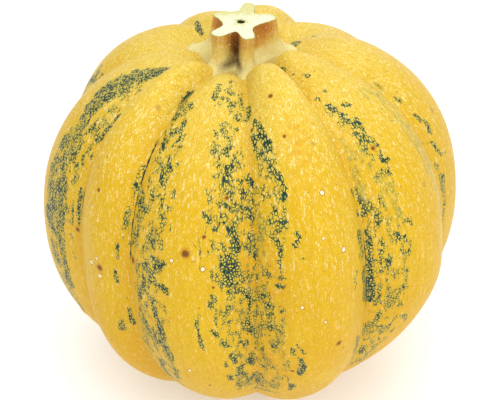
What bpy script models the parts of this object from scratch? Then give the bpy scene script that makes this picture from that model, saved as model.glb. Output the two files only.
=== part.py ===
"""A ribbed, striped pumpkin with its cut stem, standing on its blossom end.

Metres, +Z up. The front of the fruit faces -Y, and azimuths run from the front towards +X.
The origin is under the middle of the fruit, on the surface that it stands on.
"""

import math

import bmesh
import bpy
import numpy as np

# Fruit: the crest line of a lobe, before the lobes differ
CREST_RADIUS = 0.1215
CROWN_HEIGHT = 0.1100  # equator up to where an undented crest would end
BASE_HEIGHT = 0.1085  # equator down to the same at the blossom end
CROWN_FULLNESS = 0.846  # below 1 squares the shoulder
BASE_FULLNESS = 1.0
CROWN_LEAN = -0.0031  # how far the crown sits to the side of the equator's middle
EQUATOR_EASE = 0.25

# Hollow that the stem grows from: lobes drop into it, furrows run in flatter
CREST_HOLLOW_DEPTH = 0.0259
FURROW_HOLLOW_DEPTH = 0.0088
FURROW_HOLLOW_RADIUS = 0.0332
EVEN_RADIUS = 0.0140  # nearer to the axis than this, lobes and furrows even out
EVEN_LOBE = 0.6

# Dimple at the blossom end, with the corky scar in its middle
BLOSSOM_DEPTH = 0.0080
BLOSSOM_RADIUS = 0.0250
SCAR_HEIGHT = 0.0022
SCAR_RADIUS = 0.0060

# Furrow depth as a share of the distance from the fruit's middle
FURROW_AT_EQUATOR = 0.122
FURROW_AT_CROWN = 0.069
FURROW_AT_BASE = 0.041
LOBE_FULLNESS = 1.9
CROWN_LOBE_FULLNESS = 0.75  # more of it at the crown, where the creases are narrow

# One row for a lobe, round the fruit from the left of the front: azimuth of the furrow
# where it begins, how wide the hollow is on its crest, and then how far it stands out, in
# shares of the distance from the middle, at crown, equator and above the foot
LOBES = [
    (-35.3, 0.0216, -0.036, -0.019, -0.017),
    (1.3, 0.0289, 0.070, 0.023, -0.024),
    (35.0, 0.0124, -0.005, -0.019, -0.048),
    (76.8, 0.0334, -0.010, 0.000, -0.005),
    (124.0, 0.0437, -0.053, 0.016, 0.000),
    (156.0, 0.0259, -0.008, -0.009, 0.000),
    (184.0, 0.0261, -0.035, -0.015, 0.000),
    (214.3, 0.0477, 0.001, -0.080, 0.000),
    (259.0, 0.0242, -0.066, -0.032, 0.000),
    (301.9, 0.0275, 0.031, -0.077, 0.023),
]
LOBE_COLUMNS = 11
RINGS = 38
RING_CROWDING = 0.35  # 0 spaces the rings evenly, more draws them to the stem and the blossom end
FOOT_FLAT = 0.0016  # how much of the lowest lobes is pressed flat where they stand

# Stem. One row for a rib: azimuth and reach of its foot, then azimuth, reach and half width
# of its end at the cut, and last how far out the groove after it lies, at the cut
STEM_HEIGHT = 0.0287  # cut face above the middle of the hollow
STEM_BURIED = 0.0120  # how far the blank goes down before the skin trims it
STEM_LEAN = -0.0023  # how far the cut sits to the side of the foot
RIBS = [
    (-42.0, 0.0335, -44.2, 0.0205, 0.0043, 0.0101),
    (2.0, 0.0265, 13.2, 0.0198, 0.0040, 0.0081),
    (112.0, 0.0310, 117.5, 0.0203, 0.0051, 0.0136),
    (168.0, 0.0310, 168.0, 0.0219, 0.0039, 0.0149),
    (255.0, 0.0335, 222.6, 0.0191, 0.0051, 0.0096),
]
RIB_REACH = 0.0200
RIB_TAPER = 0.0015  # how much further the ribs reach at the bottom, before they flare
FOOT_HALF_WIDTH = 0.0058
FOOT_GROOVE = 0.0038  # how much further out the grooves lie at the foot
GROOVE_WAIST = 0.0014  # how much the grooves draw in half way up
FOOT_HEIGHT = 0.0088  # skin in the furrows by the stem, above the middle of the hollow
FLARE_HEIGHT = 0.0022  # height over which the feet draw in to the ribs
LIP_AZIMUTH = 170.0  # the last fibres tore here, and left a raised lip on one rib
LIP_HEIGHT = 0.0017
LIP_SPREAD = 22.0
STEM_LEVELS = 16
LEVEL_CROWDING = 1.5  # draws the levels down to the feet
STEM_COLUMNS = 72
RIB_BLUNTNESS = 5
GROOVE_SHARPNESS = 7
PITH_DEPTH = 0.0060
PITH_RADIUS = 0.0019
PITH_TAPER = [(1.0, 0.6), (0.4, 0.9), (0.0, 1.0)]  # shares of the depth and the radius
CLEARANCE = 0.0004  # between the stem's underside and the skin of the fruit


def lobe_position(azimuth):
    """Index of the lobe at an azimuth in degrees, and the place across it from -1 to 1."""
    starts = np.array([lobe[0] for lobe in LOBES])
    ends = np.append(starts[1:], starts[0] + 360)
    turned = np.mod(azimuth - starts[0], 360) + starts[0]
    index = np.searchsorted(starts, turned, side="right") - 1
    across = 2 * (turned - starts[index]) / (ends[index] - starts[index]) - 1
    return index, across


def eased(share):
    """A share from 0 to 1 that sets off gently at 0, so that nothing kinks at the equator."""
    return (np.hypot(share, EQUATOR_EASE) - EQUATOR_EASE) / (math.hypot(1, EQUATOR_EASE) - EQUATOR_EASE)


def fruit_surface(azimuth, polar):
    """Points of the skin about the fruit's middle, for an azimuth in degrees and a polar angle."""
    index, across = lobe_position(azimuth)
    end, crown, equator, foot = (
        np.array([lobe[k] for lobe in LOBES])[index] for k in (1, 2, 3, 4)
    )
    height = np.cos(polar)
    upper, lower = eased(np.clip(height, 0, 1)), eased(np.clip(-height, 0, 1))
    above = height > 0

    # Lobes are round at the equator, and full with narrow creases round the stem
    round_lobe = np.cos(across * math.pi / 2)
    full_lobe = 1 - np.abs(across) ** (LOBE_FULLNESS + CROWN_LOBE_FULLNESS * upper)
    lobe = round_lobe + (full_lobe - round_lobe) * upper
    even = np.exp(-((CREST_RADIUS * np.sin(polar) / EVEN_RADIUS) ** 2))
    lobe = lobe + (EVEN_LOBE - lobe) * even

    furrow = FURROW_AT_EQUATOR + (FURROW_AT_CROWN - FURROW_AT_EQUATOR) * upper
    furrow = furrow + (FURROW_AT_BASE - FURROW_AT_EQUATOR) * lower
    swell = crown * upper + equator * (1 - upper - lower) + foot * 4 * lower * (1 - lower)
    reach = 1 - furrow * (1 - lobe) + swell * (1 - even) * lobe

    exponent = np.where(above, CROWN_FULLNESS, BASE_FULLNESS)
    radius = CREST_RADIUS * np.abs(np.sin(polar)) ** exponent * reach
    tall = np.where(above, CROWN_HEIGHT, BASE_HEIGHT)
    z = tall * np.sign(height) * np.abs(height) ** exponent * reach

    depth = FURROW_HOLLOW_DEPTH + (CREST_HOLLOW_DEPTH - FURROW_HOLLOW_DEPTH) * lobe
    spread = FURROW_HOLLOW_RADIUS + (end - FURROW_HOLLOW_RADIUS) * lobe * (1 - even)
    z = z - np.where(above, depth * np.exp(-((radius / spread) ** 2)), 0)
    dimple = BLOSSOM_DEPTH * np.exp(-((radius / BLOSSOM_RADIUS) ** 2))
    scar = SCAR_HEIGHT * np.exp(-((radius / SCAR_RADIUS) ** 4))
    z = z + np.where(above, 0, dimple - scar)

    turn = np.radians(azimuth)
    x = radius * np.sin(turn) + CROWN_LEAN * z / CROWN_HEIGHT
    y = -radius * np.cos(turn)
    return np.stack([x, y, z], axis=-1)


def column_azimuths():
    """The same number of columns in each lobe, with one column on each furrow."""
    starts = [lobe[0] for lobe in LOBES] + [LOBES[0][0] + 360]
    columns = []
    for start, end in zip(starts, starts[1:]):
        columns += [start + (end - start) * k / LOBE_COLUMNS for k in range(LOBE_COLUMNS)]
    return np.array(columns)


def fruit_grid():
    """Rings of points from the stem down to the blossom end, standing with the lowest lobes at 0."""
    share = np.linspace(0, 1, RINGS + 1)
    polar = math.pi * share - RING_CROWDING * np.sin(2 * math.pi * share) / 2
    grid = fruit_surface(column_azimuths()[None, :], polar[:, None])
    floor = grid[..., 2].min() + FOOT_FLAT
    grid[..., 2] = np.maximum(grid[..., 2], floor)
    low, high = grid.min((0, 1)), grid.max((0, 1))
    place = np.array([(low[0] + high[0]) / 2, (low[1] + high[1]) / 2, floor])
    return grid - place


def loft(name, rings, first_pole, last_pole):
    """A closed mesh over rings of points, each end drawn together to a single point."""
    mesh = bpy.data.meshes.new(name)
    bm = bmesh.new()
    loops = [[bm.verts.new(p) for p in ring] for ring in rings]
    for upper, lower in zip(loops, loops[1:]):
        for k, point in enumerate(upper):
            after = (k + 1) % len(upper)
            bm.faces.new((point, lower[k], lower[after], upper[after]))
    for ring, pole in ((loops[0], first_pole), (loops[-1], last_pole)):
        tip = bm.verts.new(pole)
        for k, point in enumerate(ring):
            bm.faces.new((tip, point, ring[(k + 1) % len(ring)]))
    bmesh.ops.triangulate(bm, faces=bm.faces[:])
    bmesh.ops.recalc_face_normals(bm, faces=bm.faces[:])
    bm.to_mesh(mesh)
    bm.free()
    mesh.shade_smooth()
    return mesh


def angle_between(first, second):
    """Signed difference of two angles in degrees, from -180 to 180."""
    return (first - second + 180) % 360 - 180


def stem_reach(turn, flare, rise):
    """Distance of the stem's side from its middle at an azimuth: blunt ribs over rounded grooves.

    The flare is 1 at the feet and falls to 0 up the ribs, and the rise is 1 at the cut.
    """
    middles = [foot + angle_between(cut, foot) * rise for foot, _, cut, _, _, _ in RIBS]
    spans = [(after - before) % 360 for before, after in zip(middles, middles[1:] + middles[:1])]
    grooves = [middle + span / 2 for middle, span in zip(middles, spans)]
    reach = np.interp(turn, grooves, [rib[5] for rib in RIBS], period=360)
    reach = reach + FOOT_GROOVE * flare - 4 * GROOVE_WAIST * rise * (1 - rise) * (1 - flare)
    for middle, (_, foot_reach, _, cut_reach, cut_half_width, _) in zip(middles, RIBS):
        away = np.radians(angle_between(turn, middle))
        upright = cut_reach + RIB_TAPER * (1 - rise)
        end = upright + (foot_reach - upright) * flare
        half_width = cut_half_width + (FOOT_HALF_WIDTH - cut_half_width) * flare
        side = half_width / np.maximum(np.abs(np.sin(away)), 1e-3)
        rib = (side**-RIB_BLUNTNESS + end**-RIB_BLUNTNESS) ** (-1 / RIB_BLUNTNESS)
        joined = (reach**GROOVE_SHARPNESS + rib**GROOVE_SHARPNESS) ** (1 / GROOVE_SHARPNESS)
        reach = np.where(np.abs(away) < math.pi / 2, joined, reach)
    return reach


def stem_columns():
    """Azimuths that stand evenly along the outline of the cut."""
    fine = np.linspace(0, 360, 2001)
    reach = stem_reach(fine, 0, 1)
    outline = np.stack([reach * np.sin(np.radians(fine)), reach * np.cos(np.radians(fine))], axis=1)
    along = np.append(0, np.cumsum(np.linalg.norm(np.diff(outline, axis=0), axis=1)))
    return np.interp(np.arange(STEM_COLUMNS) / STEM_COLUMNS * along[-1], along, fine)


def stem_ring(root, rise, reach):
    """Points round the stem at one level, for its reach in each direction."""
    turn = np.radians(stem_columns())
    x = root[0] + STEM_LEAN * rise + reach * np.sin(turn)
    y = root[1] - reach * np.cos(turn)
    near_lip = np.exp(-((angle_between(stem_columns(), LIP_AZIMUTH) / LIP_SPREAD) ** 2))
    outward = (reach / RIB_REACH) ** 2
    z = root[2] + STEM_HEIGHT * rise + LIP_HEIGHT * near_lip * outward * max(rise, 0) ** 6
    return np.stack([x, y, z], axis=1)


def stem_rings(root):
    """Rings from the bottom of the pith, out over the cut face and down the sides."""
    rings = [
        stem_ring(root, 1 - PITH_DEPTH * depth / STEM_HEIGHT, PITH_RADIUS * width)
        for depth, width in PITH_TAPER
    ]
    for level in np.linspace(0, 1, STEM_LEVELS):
        rise = (1 - level) ** LEVEL_CROWDING
        flare = math.exp(-max(rise * STEM_HEIGHT - FOOT_HEIGHT, 0) / FLARE_HEIGHT)
        rings.append(stem_ring(root, rise, stem_reach(stem_columns(), flare, rise)))
    rings.append(stem_ring(root, -STEM_BURIED / STEM_HEIGHT, stem_reach(stem_columns(), 1, 0)))
    return rings


def add_object(name, mesh, material=None):
    obj = bpy.data.objects.new(name, mesh)
    bpy.context.scene.collection.objects.link(obj)
    if material:
        mesh.materials.append(material)
    return obj


def add_material(name, colour, roughness):
    material = bpy.data.materials.new(name)
    material.use_nodes = True
    shader = material.node_tree.nodes["Principled BSDF"]
    shader.inputs["Base Color"].default_value = (*colour, 1)
    shader.inputs["Roughness"].default_value = roughness
    shader.inputs["Metallic"].default_value = 0.0
    return material


def build_fruit():
    """The fruit, grown as one piece."""
    grid = fruit_grid()
    rings, crown, blossom = grid[1:-1], grid[0].mean(0), grid[-1].mean(0)
    mesh = loft("fruit", rings, crown, blossom)
    return add_object("fruit", mesh, add_material("rind", (0.83, 0.51, 0.06), 0.42)), crown


def swollen(fruit, name, gap):
    """A cutter that stands off the skin of the fruit by an even gap."""
    mesh = bpy.data.meshes.new(name)
    bm = bmesh.new()
    bm.from_mesh(fruit.data)
    bm.normal_update()
    places = [v.co + v.normal * gap * v.calc_shell_factor() for v in bm.verts]
    for vertex, place in zip(bm.verts, places):
        vertex.co = place
    bm.to_mesh(mesh)
    bm.free()
    cutter = add_object(name, mesh)
    cutter.hide_render = True
    cutter.display_type = "WIRE"
    return cutter


def build_stem(fruit, root):
    """The cut stem, whose underside is shaped by the skin that it grows from."""
    rings = stem_rings(root)
    buried = rings[-1].mean(0)
    buried[:2] = root[:2]
    mesh = loft("stem", rings, rings[0].mean(0), buried)
    mesh.set_sharp_from_angle(angle=math.radians(50))
    stem = add_object("stem", mesh, add_material("stem", (0.62, 0.47, 0.16), 0.6))
    cut = stem.modifiers.new("seat on the fruit", "BOOLEAN")
    cut.operation = "DIFFERENCE"
    cut.solver = "EXACT"
    cut.object = swollen(fruit, "seat_cutter", CLEARANCE)
    return stem


def main():
    for obj in list(bpy.data.objects):
        bpy.data.objects.remove(obj)
    fruit, crown = build_fruit()
    build_stem(fruit, crown)


main()
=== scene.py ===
import math

import bpy
import numpy as np
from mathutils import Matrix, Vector, noise
from mathutils.bvhtree import BVHTree


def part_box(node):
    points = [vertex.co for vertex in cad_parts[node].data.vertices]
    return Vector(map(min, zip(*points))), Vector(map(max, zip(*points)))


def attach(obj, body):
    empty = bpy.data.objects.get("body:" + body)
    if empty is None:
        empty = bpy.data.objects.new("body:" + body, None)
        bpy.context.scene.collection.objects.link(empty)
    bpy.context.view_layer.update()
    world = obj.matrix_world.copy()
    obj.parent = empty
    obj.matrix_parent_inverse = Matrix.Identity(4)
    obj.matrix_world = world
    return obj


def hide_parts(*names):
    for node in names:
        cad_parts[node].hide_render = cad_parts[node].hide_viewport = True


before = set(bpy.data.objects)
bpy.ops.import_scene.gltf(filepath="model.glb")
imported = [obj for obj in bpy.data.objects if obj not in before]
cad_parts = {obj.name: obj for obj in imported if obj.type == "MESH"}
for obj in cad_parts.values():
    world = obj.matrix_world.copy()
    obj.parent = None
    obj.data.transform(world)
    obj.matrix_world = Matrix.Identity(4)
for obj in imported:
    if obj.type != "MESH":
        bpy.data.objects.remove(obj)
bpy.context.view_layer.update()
draws = np.random.default_rng(24)
print("solids loaded")


# Small helpers for meshes

def angleBetween(first, second):
    # signed difference in degrees, from -180 to 180
    return (first - second + 180) % 360 - 180


def smooth(value, low, high):
    share = np.clip((value - low) / (high - low), 0, 1)
    return share * share * (3 - 2 * share)


def noiseAt(points, size, seed=0.0):
    # Perlin noise from -1 to 1 at an array of points; size is that of one bump, in metres
    shift = Vector((seed, 1.7 * seed, 0.6 * seed))
    flat = points.reshape(-1, 3) / size
    values = [noise.noise(Vector(p) + shift) for p in flat]
    return np.array(values).reshape(points.shape[:-1])


def gridFaces(rings, columns, firstVertex=0):
    # quads between rings that close on themselves, facing outward when rings run downward
    ring = np.arange(rings - 1)[:, None]
    column = np.arange(columns)[None, :]
    after = (column + 1) % columns
    corners = [ring * columns + column, (ring + 1) * columns + column,
               (ring + 1) * columns + after, ring * columns + after]
    return (np.stack(np.broadcast_arrays(*corners), -1).reshape(-1, 4) + firstVertex).tolist()


def fanFaces(centre, start, columns, downward):
    ring = [(start + k, start + (k + 1) % columns) for k in range(columns)]
    return [(centre, b, a) if downward else (centre, a, b) for a, b in ring]


def addMesh(name, points, faces, materials, worn=None):
    mesh = bpy.data.meshes.new(name)
    mesh.from_pydata([tuple(p) for p in points], [], [tuple(f) for f in faces])
    for material in materials:
        mesh.materials.append(material)
    if worn is not None:
        mesh.polygons.foreach_set("material_index", np.array(worn, np.int32))
    mesh.shade_smooth()
    piece = bpy.data.objects.new(name, mesh)
    bpy.context.scene.collection.objects.link(piece)
    return piece


def giveValues(piece, name, values):
    kind = "FLOAT" if values.ndim == 1 else "FLOAT_VECTOR"
    made = piece.data.attributes.new(name, kind, "POINT")
    field = "value" if values.ndim == 1 else "vector"
    made.data.foreach_set(field, np.ascontiguousarray(values, np.float32).ravel())


# Small helpers for materials

def put(tree, kind, inputs=None, **settings):
    made = tree.nodes.new(kind)
    for name, value in settings.items():
        setattr(made, name, value)
    for key, value in (inputs or {}).items():
        if isinstance(value, bpy.types.NodeSocket):
            tree.links.new(value, made.inputs[key])
        else:
            made.inputs[key].default_value = value
    return made


def sums(tree, operation, first, second=0.0, third=0.0, clamp=False):
    return put(tree, "ShaderNodeMath", {0: first, 1: second, 2: third},
               operation=operation, use_clamp=clamp).outputs[0]


def times(tree, first, second):
    return sums(tree, "MULTIPLY", first, second)


def timesPlus(tree, first, second, third, clamp=False):
    # first times second, and third added
    return sums(tree, "MULTIPLY_ADD", first, second, third, clamp)


def minus(tree, first, second):
    return sums(tree, "SUBTRACT", first, second)


def over(tree, first, second):
    return sums(tree, "DIVIDE", first, second)


def vectorSums(tree, operation, first, second, third=(0, 0, 0)):
    return put(tree, "ShaderNodeVectorMath", {0: first, 1: second, 2: third}, operation=operation)


def ramp(tree, value, low, high, toLow=0.0, toHigh=1.0, gentle=True):
    shape = "SMOOTHSTEP" if gentle else "LINEAR"
    return put(tree, "ShaderNodeMapRange",
               {"Value": value, "From Min": low, "From Max": high, "To Min": toLow, "To Max": toHigh},
               interpolation_type=shape).outputs["Result"]


def blend(tree, share, first, second):
    # colours are sockets or three numbers
    inputs = {"Factor": share}
    for key, value in ((6, first), (7, second)):
        inputs[key] = value if isinstance(value, bpy.types.NodeSocket) else (*value, 1)
    return put(tree, "ShaderNodeMix", inputs, data_type="RGBA").outputs[2]


def stretched(tree, vector, scale):
    return vectorSums(tree, "MULTIPLY", vector, scale).outputs[0]


def wobbled(tree, vector, size, reach):
    # the vector shaken by noise, so that nothing laid out on it is too regular
    shake = put(tree, "ShaderNodeTexNoise", {"Vector": vector, "Scale": 1 / size, "Detail": 1.0})
    shake = vectorSums(tree, "SUBTRACT", shake.outputs["Color"], (0.5, 0.5, 0.5)).outputs[0]
    return vectorSums(tree, "MULTIPLY_ADD", shake, (reach,) * 3, vector).outputs[0]


def blotches(tree, vector, size, detail=2.0, roughness=0.5):
    # soft noise about 0.5, with blotches of that size in metres
    inputs = {"Vector": vector, "Scale": 1 / size, "Detail": detail, "Roughness": roughness}
    return put(tree, "ShaderNodeTexNoise", inputs).outputs["Fac"]


def carried(tree, name, wanted="Fac"):
    return put(tree, "ShaderNodeAttribute", attribute_name=name).outputs[wanted]


def newMaterial(name):
    material = bpy.data.materials.new(name)
    material.use_nodes = True
    tree = material.node_tree
    return material, tree, tree.nodes["Principled BSDF"]


def newGroup(name, inputs, outputs):
    group = bpy.data.node_groups.new(name, "ShaderNodeTree")
    for label, kind, value in inputs:
        socket = group.interface.new_socket(label, in_out="INPUT", socket_type=kind)
        if value is not None:
            socket.default_value = value
    for label, kind in outputs:
        group.interface.new_socket(label, in_out="OUTPUT", socket_type=kind)
    return group, group.nodes.new("NodeGroupInput"), group.nodes.new("NodeGroupOutput")


def finishSkin(tree, shader, colour, roughness, height, strength=1.0):
    relief = put(tree, "ShaderNodeBump", {"Height": height, "Distance": 1.0, "Strength": strength})
    tree.links.new(colour, shader.inputs["Base Color"])
    tree.links.new(roughness, shader.inputs["Roughness"])
    tree.links.new(relief.outputs["Normal"], shader.inputs["Normal"])


# Effects that several materials share

def makeFlecks():
    # scattered specks of uneven size, at most one in each cell
    group, given, result = newGroup(
        "flecks",
        [("Place", "NodeSocketVector", None), ("Spacing", "NodeSocketFloat", 0.002),
         ("Size", "NodeSocketFloat", 0.3), ("Share", "NodeSocketFloat", 0.5)],
        [("Mask", "NodeSocketFloat")])
    density = over(group, 1.0, given.outputs["Spacing"])
    cells = put(group, "ShaderNodeTexVoronoi", {"Vector": given.outputs["Place"], "Scale": density})
    chance = put(group, "ShaderNodeSeparateColor", {0: cells.outputs["Color"]})
    there = sums(group, "LESS_THAN", chance.outputs[0], given.outputs["Share"])
    size = times(group, given.outputs["Size"], ramp(group, chance.outputs[1], 0, 1, 0.6, 1.2))
    near = minus(group, 1.0, over(group, cells.outputs["Distance"], size))
    group.links.new(times(group, ramp(group, near, 0.0, 0.55), there), result.inputs["Mask"])
    return group


def makeUneven():
    # broad and fine unevenness together, about 0.5
    group, given, result = newGroup(
        "unevenTone",
        [("Place", "NodeSocketVector", None), ("Broad", "NodeSocketFloat", 0.03),
         ("Fine", "NodeSocketFloat", 0.004)],
        [("Tone", "NodeSocketFloat")])
    tone = 0.0
    for size, detail, share in (("Broad", 2.0, 0.6), ("Fine", 3.0, 0.4)):
        scale = over(group, 1.0, given.outputs[size])
        cloud = put(group, "ShaderNodeTexNoise",
                    {"Vector": given.outputs["Place"], "Scale": scale, "Detail": detail})
        tone = timesPlus(group, cloud.outputs["Fac"], share, tone)
    group.links.new(tone, result.inputs["Tone"])
    return group


flecks = makeFlecks()
uneven = makeUneven()
print("shared effects made")


def flecked(tree, vector, spacing, size, share):
    inputs = {"Place": vector, "Spacing": spacing, "Size": size, "Share": share}
    return put(tree, "ShaderNodeGroup", inputs, node_tree=flecks).outputs["Mask"]


def unevenTone(tree, vector, broad, fine):
    inputs = {"Place": vector, "Broad": broad, "Fine": fine}
    return put(tree, "ShaderNodeGroup", inputs, node_tree=uneven).outputs["Tone"]


# The fruit's shape

fruit = {
    "crestRadius": 0.1215, "crownHeight": 0.1100, "baseHeight": 0.1085,
    "crownFullness": 0.846, "crownLean": -0.0031, "equatorEase": 0.25,
    "crestHollow": 0.0259, "furrowHollow": 0.0088, "furrowHollowRadius": 0.0332,
    "evenRadius": 0.0140, "evenLobe": 0.6,
    "blossomDepth": 0.0080, "blossomRadius": 0.0250, "scarHeight": 0.0022, "scarRadius": 0.0060,
    "furrowAtEquator": 0.122, "furrowAtCrown": 0.069, "furrowAtBase": 0.041,
    "lobeFullness": 1.9, "crownLobeFullness": 0.75, "footFlat": 0.0016,
    # a lobe: furrow where it begins, width of the hollow on its crest, and its swell at the crown,
    # at the equator and above the foot
    "lobes": [
        (-35.3, 0.0216, -0.036, -0.019, -0.017),
        (1.3, 0.0289, 0.070, 0.023, -0.024),
        (35.0, 0.0124, -0.005, -0.019, -0.048),
        (76.8, 0.0334, -0.010, 0.000, -0.005),
        (124.0, 0.0437, -0.053, 0.016, 0.000),
        (156.0, 0.0259, -0.008, -0.009, 0.000),
        (184.0, 0.0261, -0.035, -0.015, 0.000),
        (214.3, 0.0477, 0.001, -0.080, 0.000),
        (259.0, 0.0242, -0.066, -0.032, 0.000),
        (301.9, 0.0275, 0.031, -0.077, 0.023),
    ],
    # how far a step down the skin counts for its cells, at these polar angles
    "grainTurns": [35, 85], "grainShares": [0.27, 0.80],
    "columnsPerLobe": 49, "rings": 200, "ringCrowding": 0.30,
    # dents and pebbles start at the first of these heights above the resting spots
    "unevenFrom": (0.001, 0.008),
    "dentHeight": 0.00035, "dentSize": 0.016, "pebbleHeight": 0.00007, "pebbleSize": 0.0042,
    # low warts: azimuth, polar angle, radius and height in millimetres
    "warts": [(-69, 117, 2.2, 0.9), (56, 96, 2.0, 0.8), (-140, 84, 2.0, 0.7), (150, 70, 2.2, 0.8)],
}


def eased(share):
    ease = fruit["equatorEase"]
    return (np.hypot(share, ease) - ease) / (math.hypot(1, ease) - ease)


def acrossLobe(azimuth):
    # which lobe an azimuth is on, and how far across it, from -1 to 1
    starts = np.array([lobe[0] for lobe in fruit["lobes"]])
    ends = np.append(starts[1:], starts[0] + 360)
    turned = np.mod(azimuth - starts[0], 360) + starts[0]
    index = np.searchsorted(starts, turned + 1e-9, side="right") - 1
    return index, 2 * (turned - starts[index]) / (ends[index] - starts[index]) - 1


def fruitSurface(azimuth, polar):
    f = fruit
    index, across = acrossLobe(azimuth)
    _, end, crown, equator, foot = np.array(f["lobes"]).T[:, index]
    height = np.cos(polar)
    upper, lower = eased(np.clip(height, 0, 1)), eased(np.clip(-height, 0, 1))
    above = height > 0

    roundLobe = np.cos(across * math.pi / 2)
    fullLobe = 1 - np.abs(across) ** (f["lobeFullness"] + f["crownLobeFullness"] * upper)
    lobe = roundLobe + (fullLobe - roundLobe) * upper
    even = np.exp(-((f["crestRadius"] * np.sin(polar) / f["evenRadius"]) ** 2))
    lobe = lobe + (f["evenLobe"] - lobe) * even

    furrow = f["furrowAtEquator"] + (f["furrowAtCrown"] - f["furrowAtEquator"]) * upper
    furrow = furrow + (f["furrowAtBase"] - f["furrowAtEquator"]) * lower
    swell = crown * upper + equator * (1 - upper - lower) + foot * 4 * lower * (1 - lower)
    reach = 1 - furrow * (1 - lobe) + swell * (1 - even) * lobe

    exponent = np.where(above, f["crownFullness"], 1.0)
    radius = f["crestRadius"] * np.abs(np.sin(polar)) ** exponent * reach
    tall = np.where(above, f["crownHeight"], f["baseHeight"])
    z = tall * np.sign(height) * np.abs(height) ** exponent * reach

    depth = f["furrowHollow"] + (f["crestHollow"] - f["furrowHollow"]) * lobe
    spread = f["furrowHollowRadius"] + (end - f["furrowHollowRadius"]) * lobe * (1 - even)
    z = z - np.where(above, depth * np.exp(-((radius / spread) ** 2)), 0)
    dimple = f["blossomDepth"] * np.exp(-((radius / f["blossomRadius"]) ** 2))
    scar = f["scarHeight"] * np.exp(-((radius / f["scarRadius"]) ** 4))
    z = z + np.where(above, 0, dimple - scar)

    turn = np.radians(azimuth)
    x = radius * np.sin(turn) + f["crownLean"] * z / f["crownHeight"]
    return np.stack([x, -radius * np.cos(turn), z], axis=-1)


def fruitColumns():
    starts = [lobe[0] for lobe in fruit["lobes"]] + [fruit["lobes"][0][0] + 360]
    count = fruit["columnsPerLobe"]
    return np.array([a + (b - a) * k / count for a, b in zip(starts, starts[1:]) for k in range(count)])


def gridNormals(grid):
    along = np.gradient(grid, axis=0)
    around = np.roll(grid, -1, axis=1) - np.roll(grid, 1, axis=1)
    normal = np.cross(along, around)
    return normal / np.maximum(np.linalg.norm(normal, axis=-1, keepdims=True), 1e-12)


def shapeFruit():
    share = np.linspace(0, 1, fruit["rings"] + 1)
    polar = math.pi * share - fruit["ringCrowding"] * np.sin(2 * math.pi * share) / 2
    azimuth = fruitColumns()
    grid = fruitSurface(azimuth[None, :], polar[:, None])
    floor = grid[..., 2].min() + fruit["footFlat"]
    clear = smooth(grid[..., 2] - floor, *fruit["unevenFrom"])
    grid[..., 2] = np.maximum(grid[..., 2], floor)

    normal = gridNormals(grid)
    if normal[len(polar) // 2, 0] @ grid[len(polar) // 2, 0] < 0:
        normal = -normal
    dents = fruit["dentHeight"] * noiseAt(grid * (1, 1, 0.5), fruit["dentSize"], 3.0)
    pebbles = fruit["pebbleHeight"] * noiseAt(grid * (1, 1, 0.7), fruit["pebbleSize"], 9.0)
    lift = (dents + pebbles) * clear
    for wartAzimuth, wartPolar, radius, height in fruit["warts"]:
        around = angleBetween(azimuth[None, :], wartAzimuth) * np.sin(polar[:, None])
        away = np.hypot(around, np.degrees(polar)[:, None] - wartPolar) * 2.1 / radius
        lift = lift + 0.001 * height * np.exp(-away**2)
    grid = grid + normal * lift[..., None]

    # set into the solid's own box, so that nothing stands further out
    low, high = (np.array(v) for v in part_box("fruit"))
    mineLow, mineHigh = grid.min((0, 1)), grid.max((0, 1))
    grid = low + (grid - mineLow) * (high - low) / (mineHigh - mineLow)
    return azimuth, polar, grid


azimuths, polars, fruitGrid = shapeFruit()
print("fruit shaped", fruitGrid.shape)


# Green stripes, spots and stains on the rind

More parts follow.
